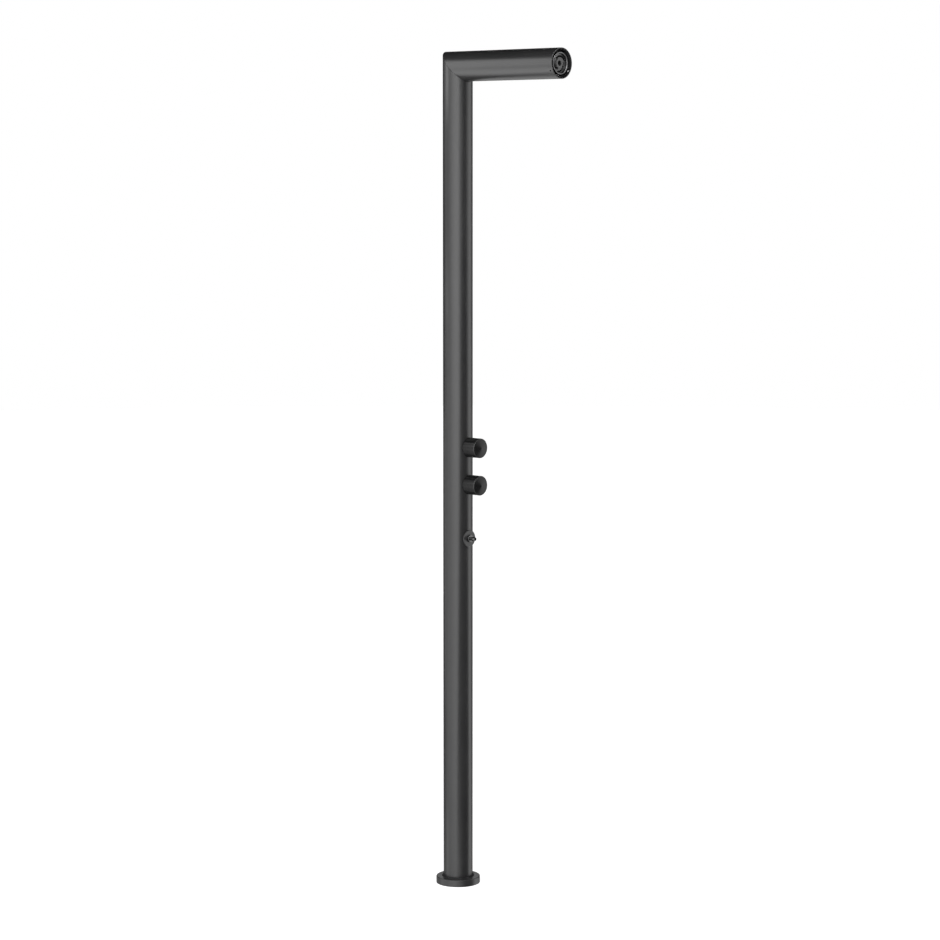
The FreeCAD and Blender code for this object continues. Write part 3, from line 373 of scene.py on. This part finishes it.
def rounded(corners):
    """A closed outline of (radius, station) points from corners, whose third number is their rounding."""
    outline = []
    for k, (radius, station, rounding) in enumerate(corners):
        corner = Vector((radius, station))
        if not rounding:
            outline.append(corner)
            continue
        back = (Vector(corners[k - 1][:2]) - corner).normalized()
        on = (Vector(corners[(k + 1) % len(corners)][:2]) - corner).normalized()
        half = back.angle(on) / 2
        centre = corner + (back + on).normalized() * rounding / math.sin(half)
        start, end = (corner + way * rounding / math.tan(half) - centre for way in (back, on))
        for j in range(round_steps + 1):
            outline.append(centre + start.lerp(end, j / round_steps).normalized() * rounding)
    return outline


def turned(corners, height=None, sides=turned_sides):
    """What a lathe cuts: an outline spun about the column, or about a line to the front at a height."""
    shape = bmesh.new()
    circles = []
    for radius, station in rounded(corners):
        circle = []
        for k in range(sides if radius else 1):
            x, y = (radius * f(math.tau * k / sides) for f in (math.cos, math.sin))
            spot = (x, y, station) if height is None else (x, -station, height + y)
            circle.append(shape.verts.new(Vector(spot) / 1000))
        circles.append(circle)
    for first, second in zip(circles, circles[1:] + circles[:1]):
        for k in range(sides if len(first) + len(second) > 2 else 0):
            loop = ((first, k), (first, k + 1), (second, k + 1), (second, k))
            face = [circle[j % len(circle)] for circle, j in loop]
            shape.faces.new(dict.fromkeys(face))
    return shape


def saddle_back(hole_r, edge_r, steps):
    """The corners of a flat back at station 0, close enough together to be cut to the tube's curve."""
    return [(hole_r + (edge_r - hole_r) * k / steps, 0, 0) for k in range(steps + 1)]


def saddled(shape):
    """Cuts the back of a turned piece, which lies at station 0, to the curve of the tube."""
    for vert in shape.verts:
        if abs(vert.co.y) < flat_back:
            vert.co.y = -math.sqrt(((tube_r + seat_gap) / 1000) ** 2 - vert.co.x ** 2)
    return shape


def station_of(place):
    """How far a place lies in front of the column's axis, in millimetres."""
    return -1000.0 * place.node("ShaderNodeSeparateXYZ", {}, {0: place}, "Y")


def radius_of(place, height):
    """How far a place lies from the line that runs to the front at this height, in millimetres."""
    spoke = place.shifted((0, 0, -height), (1000, 0, 1000))
    return place.node("ShaderNodeVectorMath", {"operation": "LENGTH"}, {0: spoke}, "Value")


def lathe_marks(place, height):
    """The fine rings that a lathe leaves round a line to the front at this height."""
    return place.node("ShaderNodeTexNoise", {"noise_dimensions": "1D"}, {
        "W": radius_of(place, height) + station_of(place), "Scale": marks_per_mm, "Detail": 1.0})


blacks = {}
for name, height in controls.items():
    black, place = start_finish(name + " control black", {"Specular IOR Level": 0.19})
    cut = lathe_marks(place, height)
    grain = place.noise(1600, 2)
    cloud = place.noise(40, 3)
    lay_finish(
        black,
        colour=(0.5 * grain + 0.5 * cloud).above(0.3, 0.7).between(black_dark, black_light),
        roughness=0.15 + 0.07 * cut + 0.07 * cloud,
        relief=0.6 * cut + 0.4 * grain,
        depth=0.006)
    blacks[name] = black, place
    ring = turned([
        *saddle_back(collar_hole_r, collar_r, collar_steps),
        (collar_r, collar_front, collar_edge),
        (collar_hole_r, collar_front, collar_hole_edge),
    ], height)
    collar = finished(name + "_collar_saddle", saddled(ring), black)
    fitted(collar, "column", "black_coat", name + "_collar")


# Knobs: two turned aluminium caps, black coated, with a shallow cone for a face and a boss for the spindle.
# A grub screw under each one, reached through a hole in the skirt, clamps it to its spindle. Handling has
# burnished a fine line round the edge of the face.
knob_r, knob_wall, knob_edge, knob_cone = 25.35, 3.0, 1.8, 3.6
knob_back, knob_rim = tube_r + 1.4, tube_r + 42.0
knob_ceiling = knob_rim - 5.0
knob_mouth_edge, knob_ceiling_edge = 0.3, 1.5
tip_rings = (0, 0.5, 1.0)
boss_r, boss_back, boss_root, boss_edge, spindle_hole_r = 9.0, tube_r + 13.0, 0.8, 0.3, 5.05
grub_hole_r, grub_station, grub_hole_start, grub_hole_past = 2.05, tube_r + 25.0, 5.5, 0.5
burnish_weight, burnish_r = 0.5, (knob_r - 1.95, knob_r - 1.35)
burnish_station = knob_rim - 2.45, knob_rim - 1.65
screw_dark, screw_light = (0.22, 0.22, 0.225), (0.34, 0.34, 0.345)

screw_steel, place = start_finish("dark screw steel", {"Metallic": 1.0})
oil = place.noise(600, 3)
lay_finish(
    screw_steel,
    colour=oil.between(screw_dark, screw_light),
    roughness=0.28 + 0.2 * oil,
    relief=oil,
    depth=0.01)

for name, height in controls.items():
    cap = turned([
        *[(radius, knob_rim + knob_cone * (1 - radius / knob_r), 0) for radius in tip_rings],
        (knob_r, knob_rim, knob_edge),
        (knob_r, knob_back, knob_edge),
        (knob_r - knob_wall, knob_back, knob_mouth_edge),
        (knob_r - knob_wall, knob_ceiling, knob_ceiling_edge),
        (boss_r, knob_ceiling, boss_root),
        (boss_r, boss_back, boss_edge),
        (spindle_hole_r, boss_back, boss_edge),
        (spindle_hole_r, knob_ceiling, 0),
        (0, knob_ceiling, 0),
    ], height)
    hole_end = knob_r + grub_hole_past
    hole_middle = (0, -grub_station, height - (grub_hole_start + hole_end) / 2)
    hole = bore_rod("grub hole", grub_hole_r, hole_end - grub_hole_start, hole_middle, (0, 0, 1))
    black, place = blacks[name]
    edge = radius_of(place, height).above(*burnish_r) * station_of(place).above(*burnish_station)
    feed(black, "Coat Weight", burnish_weight * edge)
    knob = finished(name + "_control_knob", cap, black, [hole])
    fitted(knob, name, "black_coat", name + "_knob")
    dress(screw_steel, name + "_grub_screw")


# Hose outlet: a flat rosette on a saddle seat, coated with the column, and a nipple with a latch groove.
# The nipple, blackened steel, is screwed through both and the tube into the elbow, on a thin rubber washer.
outlet_height, outlet_sides = 910.5, 96
rosette_r, rosette_hole_r, rosette_back, rosette_front = 21.5, 7.0, tube_r + 0.8, tube_r + 3.4
rosette_edge, rosette_back_edge, rosette_hole_edge = 0.8, 0.3, 0.3
seat_r, seat_edge, seat_steps = 14.0, 0.2, 6
washer_r, washer_hole_r, washer_front, washer_edge = 9.5, 7.0, rosette_front + 0.8, 0.2
water_r, thread_r, flange_r, stem_r, latch_r, plug_r, tip_r = 3.4, 6.5, 9.5, 5.0, 4.2, 5.4, 4.4
thread_back, nipple_inside, flange_front = washer_front - 22.0, washer_front - 0.25, washer_front + 4.4
latch_back = flange_front + 3.0
latch_front = latch_back + 2.6
plug_front = latch_front + 6.0
tip_front = plug_front + 3.0
# The darker steel colour here is painted shade, laid on blackened steel where it lies recessed: inside the
# spray cup and on the nipple behind the washer.
steel_painted_shade, steel_bright, shade_fade = (0.02, 0.02, 0.02), (0.19, 0.19, 0.192), 0.4


def blackened(name, height, inside):
    """Steel turned about a line to the front at this height and blackened, with painted shade behind a
    station, where it turns near black and rough.
    """
    finish, place = start_finish(name, {"Metallic": 1.0})
    cut = lathe_marks(place, height)
    cloud = place.noise(90, 3)
    bright = station_of(place).above(inside - shade_fade, inside)
    lay_finish(
        finish,
        colour=((0.4 * cut + 0.6 * cloud) * bright).between(steel_painted_shade, steel_bright),
        roughness=0.56 - 0.4 * bright + 0.06 * cut + 0.08 * cloud,
        relief=cut,
        depth=0.006)
    return finish


ring = turned([
    *saddle_back(rosette_hole_r, seat_r, seat_steps),
    (seat_r, rosette_back, seat_edge),
    (rosette_r, rosette_back, rosette_back_edge),
    (rosette_r, rosette_front, rosette_edge),
    (rosette_hole_r, rosette_front, rosette_hole_edge),
], outlet_height)
disc = finished("outlet_saddle_rosette", saddled(ring), anthracite)
fitted(disc, "column", "anthracite_coat", "outlet_rosette")

ring = turned([
    (washer_hole_r, rosette_front, 0), (washer_r, rosette_front, washer_edge),
    (washer_r, washer_front, washer_edge), (washer_hole_r, washer_front, 0),
], outlet_height, outlet_sides)
washer = finished("outlet_washer_ring", ring, rubber)
fitted(washer, "column", "black_rubber", "outlet_washer")

stem = turned([
    (water_r, thread_back, 0.3), (thread_r, thread_back, 0.5), (thread_r, washer_front, 0),
    (flange_r, washer_front, 0.3), (flange_r, flange_front, 0.8),
    (stem_r, flange_front, 0.4), (stem_r, latch_back, 0.2),
    (latch_r, latch_back, 0.2), (latch_r, latch_front, 0.2),
    (plug_r, latch_front, 0.3), (plug_r, plug_front, 0.5),
    (tip_r, tip_front, 0.4), (water_r, tip_front, 0.2),
], outlet_height, outlet_sides)
# The nipple's thread, behind the washer, is painted with shade.
nipple = finished("hose_nipple", stem, blackened("nipple steel", outlet_height, nipple_inside))
fitted(nipple, "column", "dark_steel", "outlet_nipple")


# Spray head: a turned cup of blackened steel, screwed into the carrier and set back in the arm's open end.
# Its mouth holds a moulded swirl insert: a hub with a centre jet, and three slots that spiral out round it.
neck_r, neck_hole_r, cup_r, mouth_r, chamber_r = 12.0, 6.0, 27.5, 24.0, 21.5
neck_back, cup_back, cup_front = arm_end - 36.0, arm_end - 28.0, arm_end - 4.0
chamber_back, cup_inside, insert_back = cup_back + 4.0, cup_front - 5.0, cup_front - 10.5
insert_gap, insert_edge, insert_edge_steps, insert_crease = 0.05, 0.3, 2, math.radians(40)
insert_sizes = {
    "Rim radius": mouth_r - insert_gap, "Thickness": 5.0, "Hub radius": 12.0, "Hub rise": 2.5,
    "Jet radius": 6.6, "Slot width": 4.8, "Slot inner radius": 14.8, "Slot outer radius": 21.0}
insert_turns = {"Slot start": 125.0, "Slot sweep": 105.0}
slot_count, slot_points = 3, 96
# The insert's near-black colour is painted shade for its slots, its jet and its back.
insert_painted_shade, insert_light, slot_shade_fade = (0.005, 0.005, 0.005), (0.062, 0.062, 0.0625), (0.7, 0.1)

bowl = turned([
    (neck_hole_r, neck_back, 0), (neck_r, neck_back, 0.4), (neck_r, cup_back, 0),
    (cup_r, cup_back, 0.4), (cup_r, cup_front, 0.8),
    (mouth_r, cup_front, 1.8), (mouth_r, insert_back, 0),
    (chamber_r, insert_back, 0.3), (chamber_r, chamber_back, 0.6),
    (neck_hole_r, chamber_back, 0.3),
], arm_height)
# The cup is painted with shade inside, behind cup_inside, where it turns near black.
cup = finished("spray_head_cup", bowl, blackened("spray head steel", arm_height, cup_inside))
fitted(cup, "column", "dark_steel", "head_body")

# Below its front face the insert is painted with shade: the slot walls, the jet and the back turn near
# black and rougher, darker with depth.
insert_plastic, place = start_finish("satin black plastic", {"Specular IOR Level": 0.5})
grain = place.noise(1300, 2)
flow = place.noise(70, 3)
face_station = insert_back + insert_sizes["Thickness"]
face = station_of(place).above(*[face_station - fade for fade in slot_shade_fade])
lay_finish(
    insert_plastic,
    colour=((0.2 * grain + 0.3 * flow + 0.5) * face).between(insert_painted_shade, insert_light),
    roughness=0.6 - 0.42 * face + 0.08 * grain,
    relief=grain,
    depth=0.01)

swirl = bpy.data.node_groups.new("swirl insert", "GeometryNodeTree")
swirl.interface.new_socket("Geometry", in_out="OUTPUT", socket_type="NodeSocketGeometry")
inputs = {}
for label in [*insert_sizes, *insert_turns]:
    inputs[label] = swirl.interface.new_socket(label, in_out="INPUT", socket_type="NodeSocketFloat")
inputs["Slot count"] = swirl.interface.new_socket("Slot count", in_out="INPUT", socket_type="NodeSocketInt")
make = Signal(swirl).node
size = {label: make("NodeGroupInput", {}, {}, label) for label in inputs}


def rod(radius, depth, low, sides=turned_sides):
    """An upright rod that starts at a low level."""
    blank = make("GeometryNodeMeshCylinder", {"fill_type": "NGON"},
                 {"Vertices": sides, "Radius": radius, "Depth": depth})
    lift = make("ShaderNodeCombineXYZ", {}, {"Z": low + 0.5 * depth})
    return make("GeometryNodeTransform", {}, {"Geometry": blank, "Translation": lift})


def joined(*parts):
    """Parts made into one solid."""
    return make("GeometryNodeMeshBoolean", {"operation": "UNION", "solver": "EXACT"}, {1: list(parts)})


def realized(instances):
    """Repeats made into a mesh of their own."""
    return make("GeometryNodeRealizeInstances", {}, {"Geometry": instances})


plate = rod(size["Rim radius"], size["Thickness"], 0.0)
hub = rod(size["Hub radius"], size["Thickness"] + size["Hub rise"], 0.0)
deep = 6.0 * size["Thickness"]
line = make("GeometryNodeCurveSpiral", {}, {
    "Resolution": slot_points, "Rotations": size["Slot sweep"] * (1 / math.tau),
    "Start Radius": size["Slot inner radius"], "End Radius": size["Slot outer radius"],
    "Height": 0.0, "Reverse": False})
upright = make("GeometryNodeSetCurveNormal", {"mode": "Z_UP"}, {"Curve": line})
band = make("GeometryNodeCurvePrimitiveQuadrilateral", {"mode": "RECTANGLE"},
            {"Width": size["Slot width"], "Height": deep})
slot = make("GeometryNodeCurveToMesh", {}, {"Curve": upright, "Profile Curve": band, "Fill Caps": True})
ends = make("GeometryNodeCurveEndpointSelection", {}, {})
tip = rod(0.5 * size["Slot width"], deep, -0.5 * deep, bore_sides)
tips = make("GeometryNodeInstanceOnPoints", {}, {"Points": line, "Selection": ends, "Instance": tip})
cutter = joined(slot, realized(tips))
step = make("ShaderNodeMath", {"operation": "DIVIDE"}, {0: math.tau, 1: size["Slot count"]})
angle = size["Slot start"] + make("GeometryNodeInputIndex", {}, {}) * step
slots = make("GeometryNodeInstanceOnPoints", {}, {
    "Points": make("GeometryNodePoints", {}, {"Count": size["Slot count"]}),
    "Instance": cutter,
    "Rotation": make("ShaderNodeCombineXYZ", {}, {"Z": angle})})
jet = rod(size["Jet radius"], deep, -0.5 * deep)
opened = make("GeometryNodeMeshBoolean", {"operation": "DIFFERENCE", "solver": "EXACT"}, {
    0: joined(plate, hub), 1: [realized(slots), jet]})
done = make("GeometryNodeSetMaterial", {}, {"Geometry": realized(opened), "Material": insert_plastic})
swirl.links.new(done.socket, swirl.nodes.new("NodeGroupOutput").inputs[0])

insert = placed("swirl_spray_insert", bmesh.new())
moulding = insert.modifiers.new("moulding", "NODES")
moulding.node_group = swirl
for label, length in insert_sizes.items():
    moulding[inputs[label].identifier] = length / 1000
for label, degrees in insert_turns.items():
    moulding[inputs[label].identifier] = math.radians(degrees)
moulding[inputs["Slot count"].identifier] = slot_count
edges = insert.modifiers.new("edges", "BEVEL")
edges.width, edges.segments = insert_edge / 1000, insert_edge_steps
edges.limit_method, edges.angle_limit = "ANGLE", insert_crease
baked(insert)
seat = Matrix.Translation((0, -insert_back / 1000, arm_height / 1000))
insert.data.transform(seat @ Matrix.Rotation(math.pi / 2, 4, "X"))
smoothed(insert)
fitted(insert, "column", "insert_plastic", "spray_insert")


# Floor rosette: a spun cover over the anchor plate, coated with the column. It slides up for fixing.
# A rubber seal in its top grips the tube and keeps water out.
cover_r, cover_wall, cover_hole_r, cover_top, cover_ceiling = 57.0, 3.0, tube_r + 1.5, 18, 13
cover_edge, cover_foot_edge, cover_inner_edge, cover_sides = 2.0, 0.3, 1.0, 192
seal_r, seal_hole_r = tube_r + 3.9, tube_r + 0.3
seal_crown_r, seal_lip_r = seal_r - 1.2, seal_hole_r + 0.6
seal_foot, seal_shoulder = cover_ceiling + 1.5, cover_top + 0.8
seal_lip, seal_top = cover_top + 1.4, cover_top + 2.0

shell = turned([
    (cover_r, 0, cover_foot_edge), (cover_r, cover_top, cover_edge),
    (seal_r, cover_top, cover_foot_edge), (seal_r, seal_foot, 0),
    (cover_hole_r, seal_foot, 0), (cover_hole_r, cover_ceiling, 0),
    (cover_r - cover_wall, cover_ceiling, cover_inner_edge), (cover_r - cover_wall, 0, cover_foot_edge),
], sides=cover_sides)
cover = finished("floor_rosette_cover", shell, anthracite)
fitted(cover, "rosette", "anthracite_coat", "floor_rosette")

ring = turned([
    (seal_hole_r, seal_foot, 0), (seal_r, seal_foot, 0), (seal_r, seal_shoulder, 0.4),
    (seal_crown_r, seal_top, 0.6), (seal_lip_r, seal_top, 0.2), (seal_hole_r, seal_lip, 0.2),
], sides=cover_sides)
seal = finished("rosette_seal_ring", ring, rubber)
fitted(seal, "rosette", "black_rubber", "rosette_seal")


# Lamps: tall softboxes round the camera's left, a strip on its right, and two more for the arm's side.
# Each one is a sheet of even light that faces the column, or the arm, and stays out of the picture.
arm_middle = Vector((0, -0.2, arm_height / 1000))
low_softbox_place = arm_middle + Vector((-1.19, 1.835, -1.212))


def around(azimuth, distance, height):
    """A point round the column: azimuth 0 is in front of it, and 90 on its right."""
    angle = math.radians(azimuth)
    return Vector((math.sin(angle) * distance, -math.cos(angle) * distance, height))


def soft_lamp(name, centre, target, width, height, radiance, spread=180):
    """A softbox that faces a target. A grid of bars in front of it narrows the spread of its light."""
    lamp = bpy.data.lights.new(name, "AREA")
    half = math.radians(spread / 2)
    lamp.shape, lamp.size, lamp.size_y, lamp.spread = "RECTANGLE", width, height, 2 * half
    lamp.energy = radiance * math.pi * width * height * (1 - half / math.tan(half))
    light = bpy.data.objects.new(name, lamp)
    light.location = centre
    light.rotation_mode = "QUATERNION"
    light.rotation_quaternion = (target - centre).to_track_quat("-Z", "Y")
    light.visible_camera = False
    bpy.context.scene.collection.objects.link(light)


for name, azimuth, distance, level, width, height, radiance in (
        ("key softbox", -52, 2.5, 0.9, 1.66, 4.8, 1.75),
        ("side softbox", -84, 2.5, 0.9, 1.35, 4.8, 1.15),
        ("far side softbox", -109.5, 2.5, 0.9, 0.93, 4.8, 0.45),
        ("upper softbox", -64, 2.6, 2.1, 3.0, 2.4, 0.75),
        ("right strip", 53, 2.6, 0.85, 1.4, 4.7, 0.85),
        ("high softbox", -136, 3.0, 2.76, 1.35, 2.2, 2.3)):
    soft_lamp(name, around(azimuth, distance, level), Vector((0, 0, level)), width, height, radiance)
soft_lamp("low softbox", low_softbox_place, arm_middle, width=1.5, height=2.1, radiance=2.1, spread=95)


# Cards: black ones keep the ceiling and the middle of the room dark in the coat's reflections, and white
# flags keep the arm's lamps off the column and the knobs. A bright card low down lights the foot, and one
# high up puts glints on the edges. All of them show in reflections alone, and cast no shadow.
ceiling_height, ceiling_r = 4.6, 3.3
flag_foot, flag_solid, flag_fading, flag_top = 1.25, 1.75, 1.93, 2.08
card_steps = 12


def hung(card, finish):
    """Hangs a card of the studio so that it shows in reflections alone."""
    card.data.materials.append(finish)
    card.visible_camera = card.visible_shadow = card.visible_diffuse = False


def bent_card(name, finish, distance, rows):
    """A card bent round the column: each of its rows has a height and the azimuths of its two ends."""
    shape = bmesh.new()
    grid = []
    for height, left, right in rows:
        azimuths = [left + (right - left) * k / card_steps for k in range(card_steps + 1)]
        grid.append([shape.verts.new(around(azimuth, distance, height)) for azimuth in azimuths])
    for low, high in zip(grid, grid[1:]):
        for k in range(card_steps):
            shape.faces.new((low[k], low[k + 1], high[k + 1], high[k]))
    hung(placed(name, shape), finish)


def shining(name, strength):
    """The finish of a card that shines with this strength, and the signal of a point's place on it."""
    return start_finish(name, {"Base Color": (0, 0, 0, 1), "Specular IOR Level": 0.0,
                               "Emission Color": (1, 1, 1, 1), "Emission Strength": strength})


card_black = start_finish("black card", {"Base Color": (0.02, 0.02, 0.02, 1), "Roughness": 0.9,
                                         "Specular IOR Level": 0.0})[0]
bent_card("front card", card_black, 2.2, [
    (-0.52, -57, 46), (-0.2, -53, 47), (0.35, -43, 41), (1.25, -20, 30), (1.85, -10, 22), (3.0, -10, 22)])
for name, distance, low, high, left, right in (
        ("low left card", 2.2, -1.6, -0.9, -96, -48),
        ("low right card", 2.2, -1.6, -0.52, -16, 40),
        ("foot card", 1.0, 0.1, 0.28, 84, 206),
        ("low back card", 20, -5.6, -0.42, 84, 211),
        ("right back card", 3.3, 1.0, 4.6, 84, 128),
        ("left back card", 3.3, 1.0, 2.1, 142, 211),
        ("high back card", 3.3, 2.1, 4.6, 128, 188),
        ("high left card", 3.3, 3.85, 4.6, 188, 300)):
    bent_card(name, card_black, distance, [(low, left, right), (high, left, right)])

flag_white, place = shining("fading card", 0.8)
level = place.node("ShaderNodeSeparateXYZ", {}, {0: place}, "Z")
solid = level.above(flag_foot, flag_solid) * (1.0 - level.above(flag_fading, flag_top))
feed(flag_white, "Alpha", solid)
bent_card("column flag", flag_white, 0.06, [(flag_foot, -130, -98), (flag_top, -130, -98)])
card_white = shining("white card", 0.8)[0]
bent_card("knob flag", card_white, 0.4, [(0.1, -155, -127), (1.45, -155, -127)])
card_bright = shining("bright card", 1.6)[0]
card_bright.cycles.emission_sampling = "NONE"
bent_card("foot light card", card_bright, 2.5, [(-1.3, -150, -118), (-0.25, -150, -118)])
card_glint = shining("glint card", 14.0)[0]
card_glint.cycles.emission_sampling = "NONE"
bent_card("high front card", card_glint, 3.0, [(3.5, -56, 22), (4.5, -56, 22)])

lid = bmesh.new()
bmesh.ops.create_circle(lid, cap_ends=True, segments=48, radius=ceiling_r,
                        matrix=Matrix.Translation((0, 0, ceiling_height)))
hung(placed("ceiling card", lid), card_black)


# Floor and room: a pale round floor that takes the column's shadow, in a white room of even light.
# To the camera the floor glows as well, so that it runs into the white of the room.
floor_r, floor_glow, room_light = 14, 0.75, 0.32

floor_white = start_finish("pale floor", {"Base Color": (0.8, 0.8, 0.8, 1), "Roughness": 0.8})[0]
tree = floor_white.node_tree
plain = Signal(tree, tree.nodes["Principled BSDF"].outputs[0])
glow = plain.node("ShaderNodeEmission", {}, {"Color": (1, 1, 1, 1), "Strength": floor_glow})
lit = plain.node("ShaderNodeAddShader", {}, {0: plain, 1: glow})
seen = plain.node("ShaderNodeLightPath", {}, {}, "Is Camera Ray")
shown = plain.node("ShaderNodeMixShader", {}, {0: seen, 1: plain, 2: lit})
tree.links.new(shown.socket, tree.nodes["Material Output"].inputs["Surface"])
shape = bmesh.new()
bmesh.ops.create_circle(shape, cap_ends=True, segments=96, radius=floor_r)
floor = placed("floor", shape)
floor.data.materials.append(floor_white)
floor.visible_glossy = floor.visible_shadow = False

room = bpy.data.worlds.new("white room")
room.use_nodes = True
tree = room.node_tree
seen = 0.0
for kind in ("Camera", "Glossy", "Transmission"):
    ray = Signal(tree).node("ShaderNodeLightPath", {}, {}, f"Is {kind} Ray")
    seen = ray.math("MAXIMUM", ray, seen)
background = tree.nodes["Background"]
background.inputs["Color"].default_value = (1, 1, 1, 1)
tree.links.new((room_light + (1.0 - room_light) * seen).socket, background.inputs["Strength"])
bpy.context.scene.world = room
bpy.context.scene.view_settings.view_transform = "Standard"


# Camera: it stands well back, in front of the column and on its left, with a long lens.
# Its place and aim, in metres, and its lens are fitted to the column's edges.
camera_place, camera_aim = Vector((-5.0450, -4.7743, 1.8694)), Vector((0.72477, 0.67976, -0.1123))
sensor_width, lens_length, far_limit = 36, 104.03, 60

lens = bpy.data.cameras.new("camera")
lens.sensor_fit, lens.sensor_width, lens.lens = "HORIZONTAL", sensor_width, lens_length
lens.clip_end = far_limit
camera = bpy.data.objects.new("camera", lens)
camera.location = camera_place
camera.rotation_mode = "QUATERNION"
camera.rotation_quaternion = camera_aim.to_track_quat("-Z", "Y")
bpy.context.scene.collection.objects.link(camera)
bpy.context.scene.camera = camera
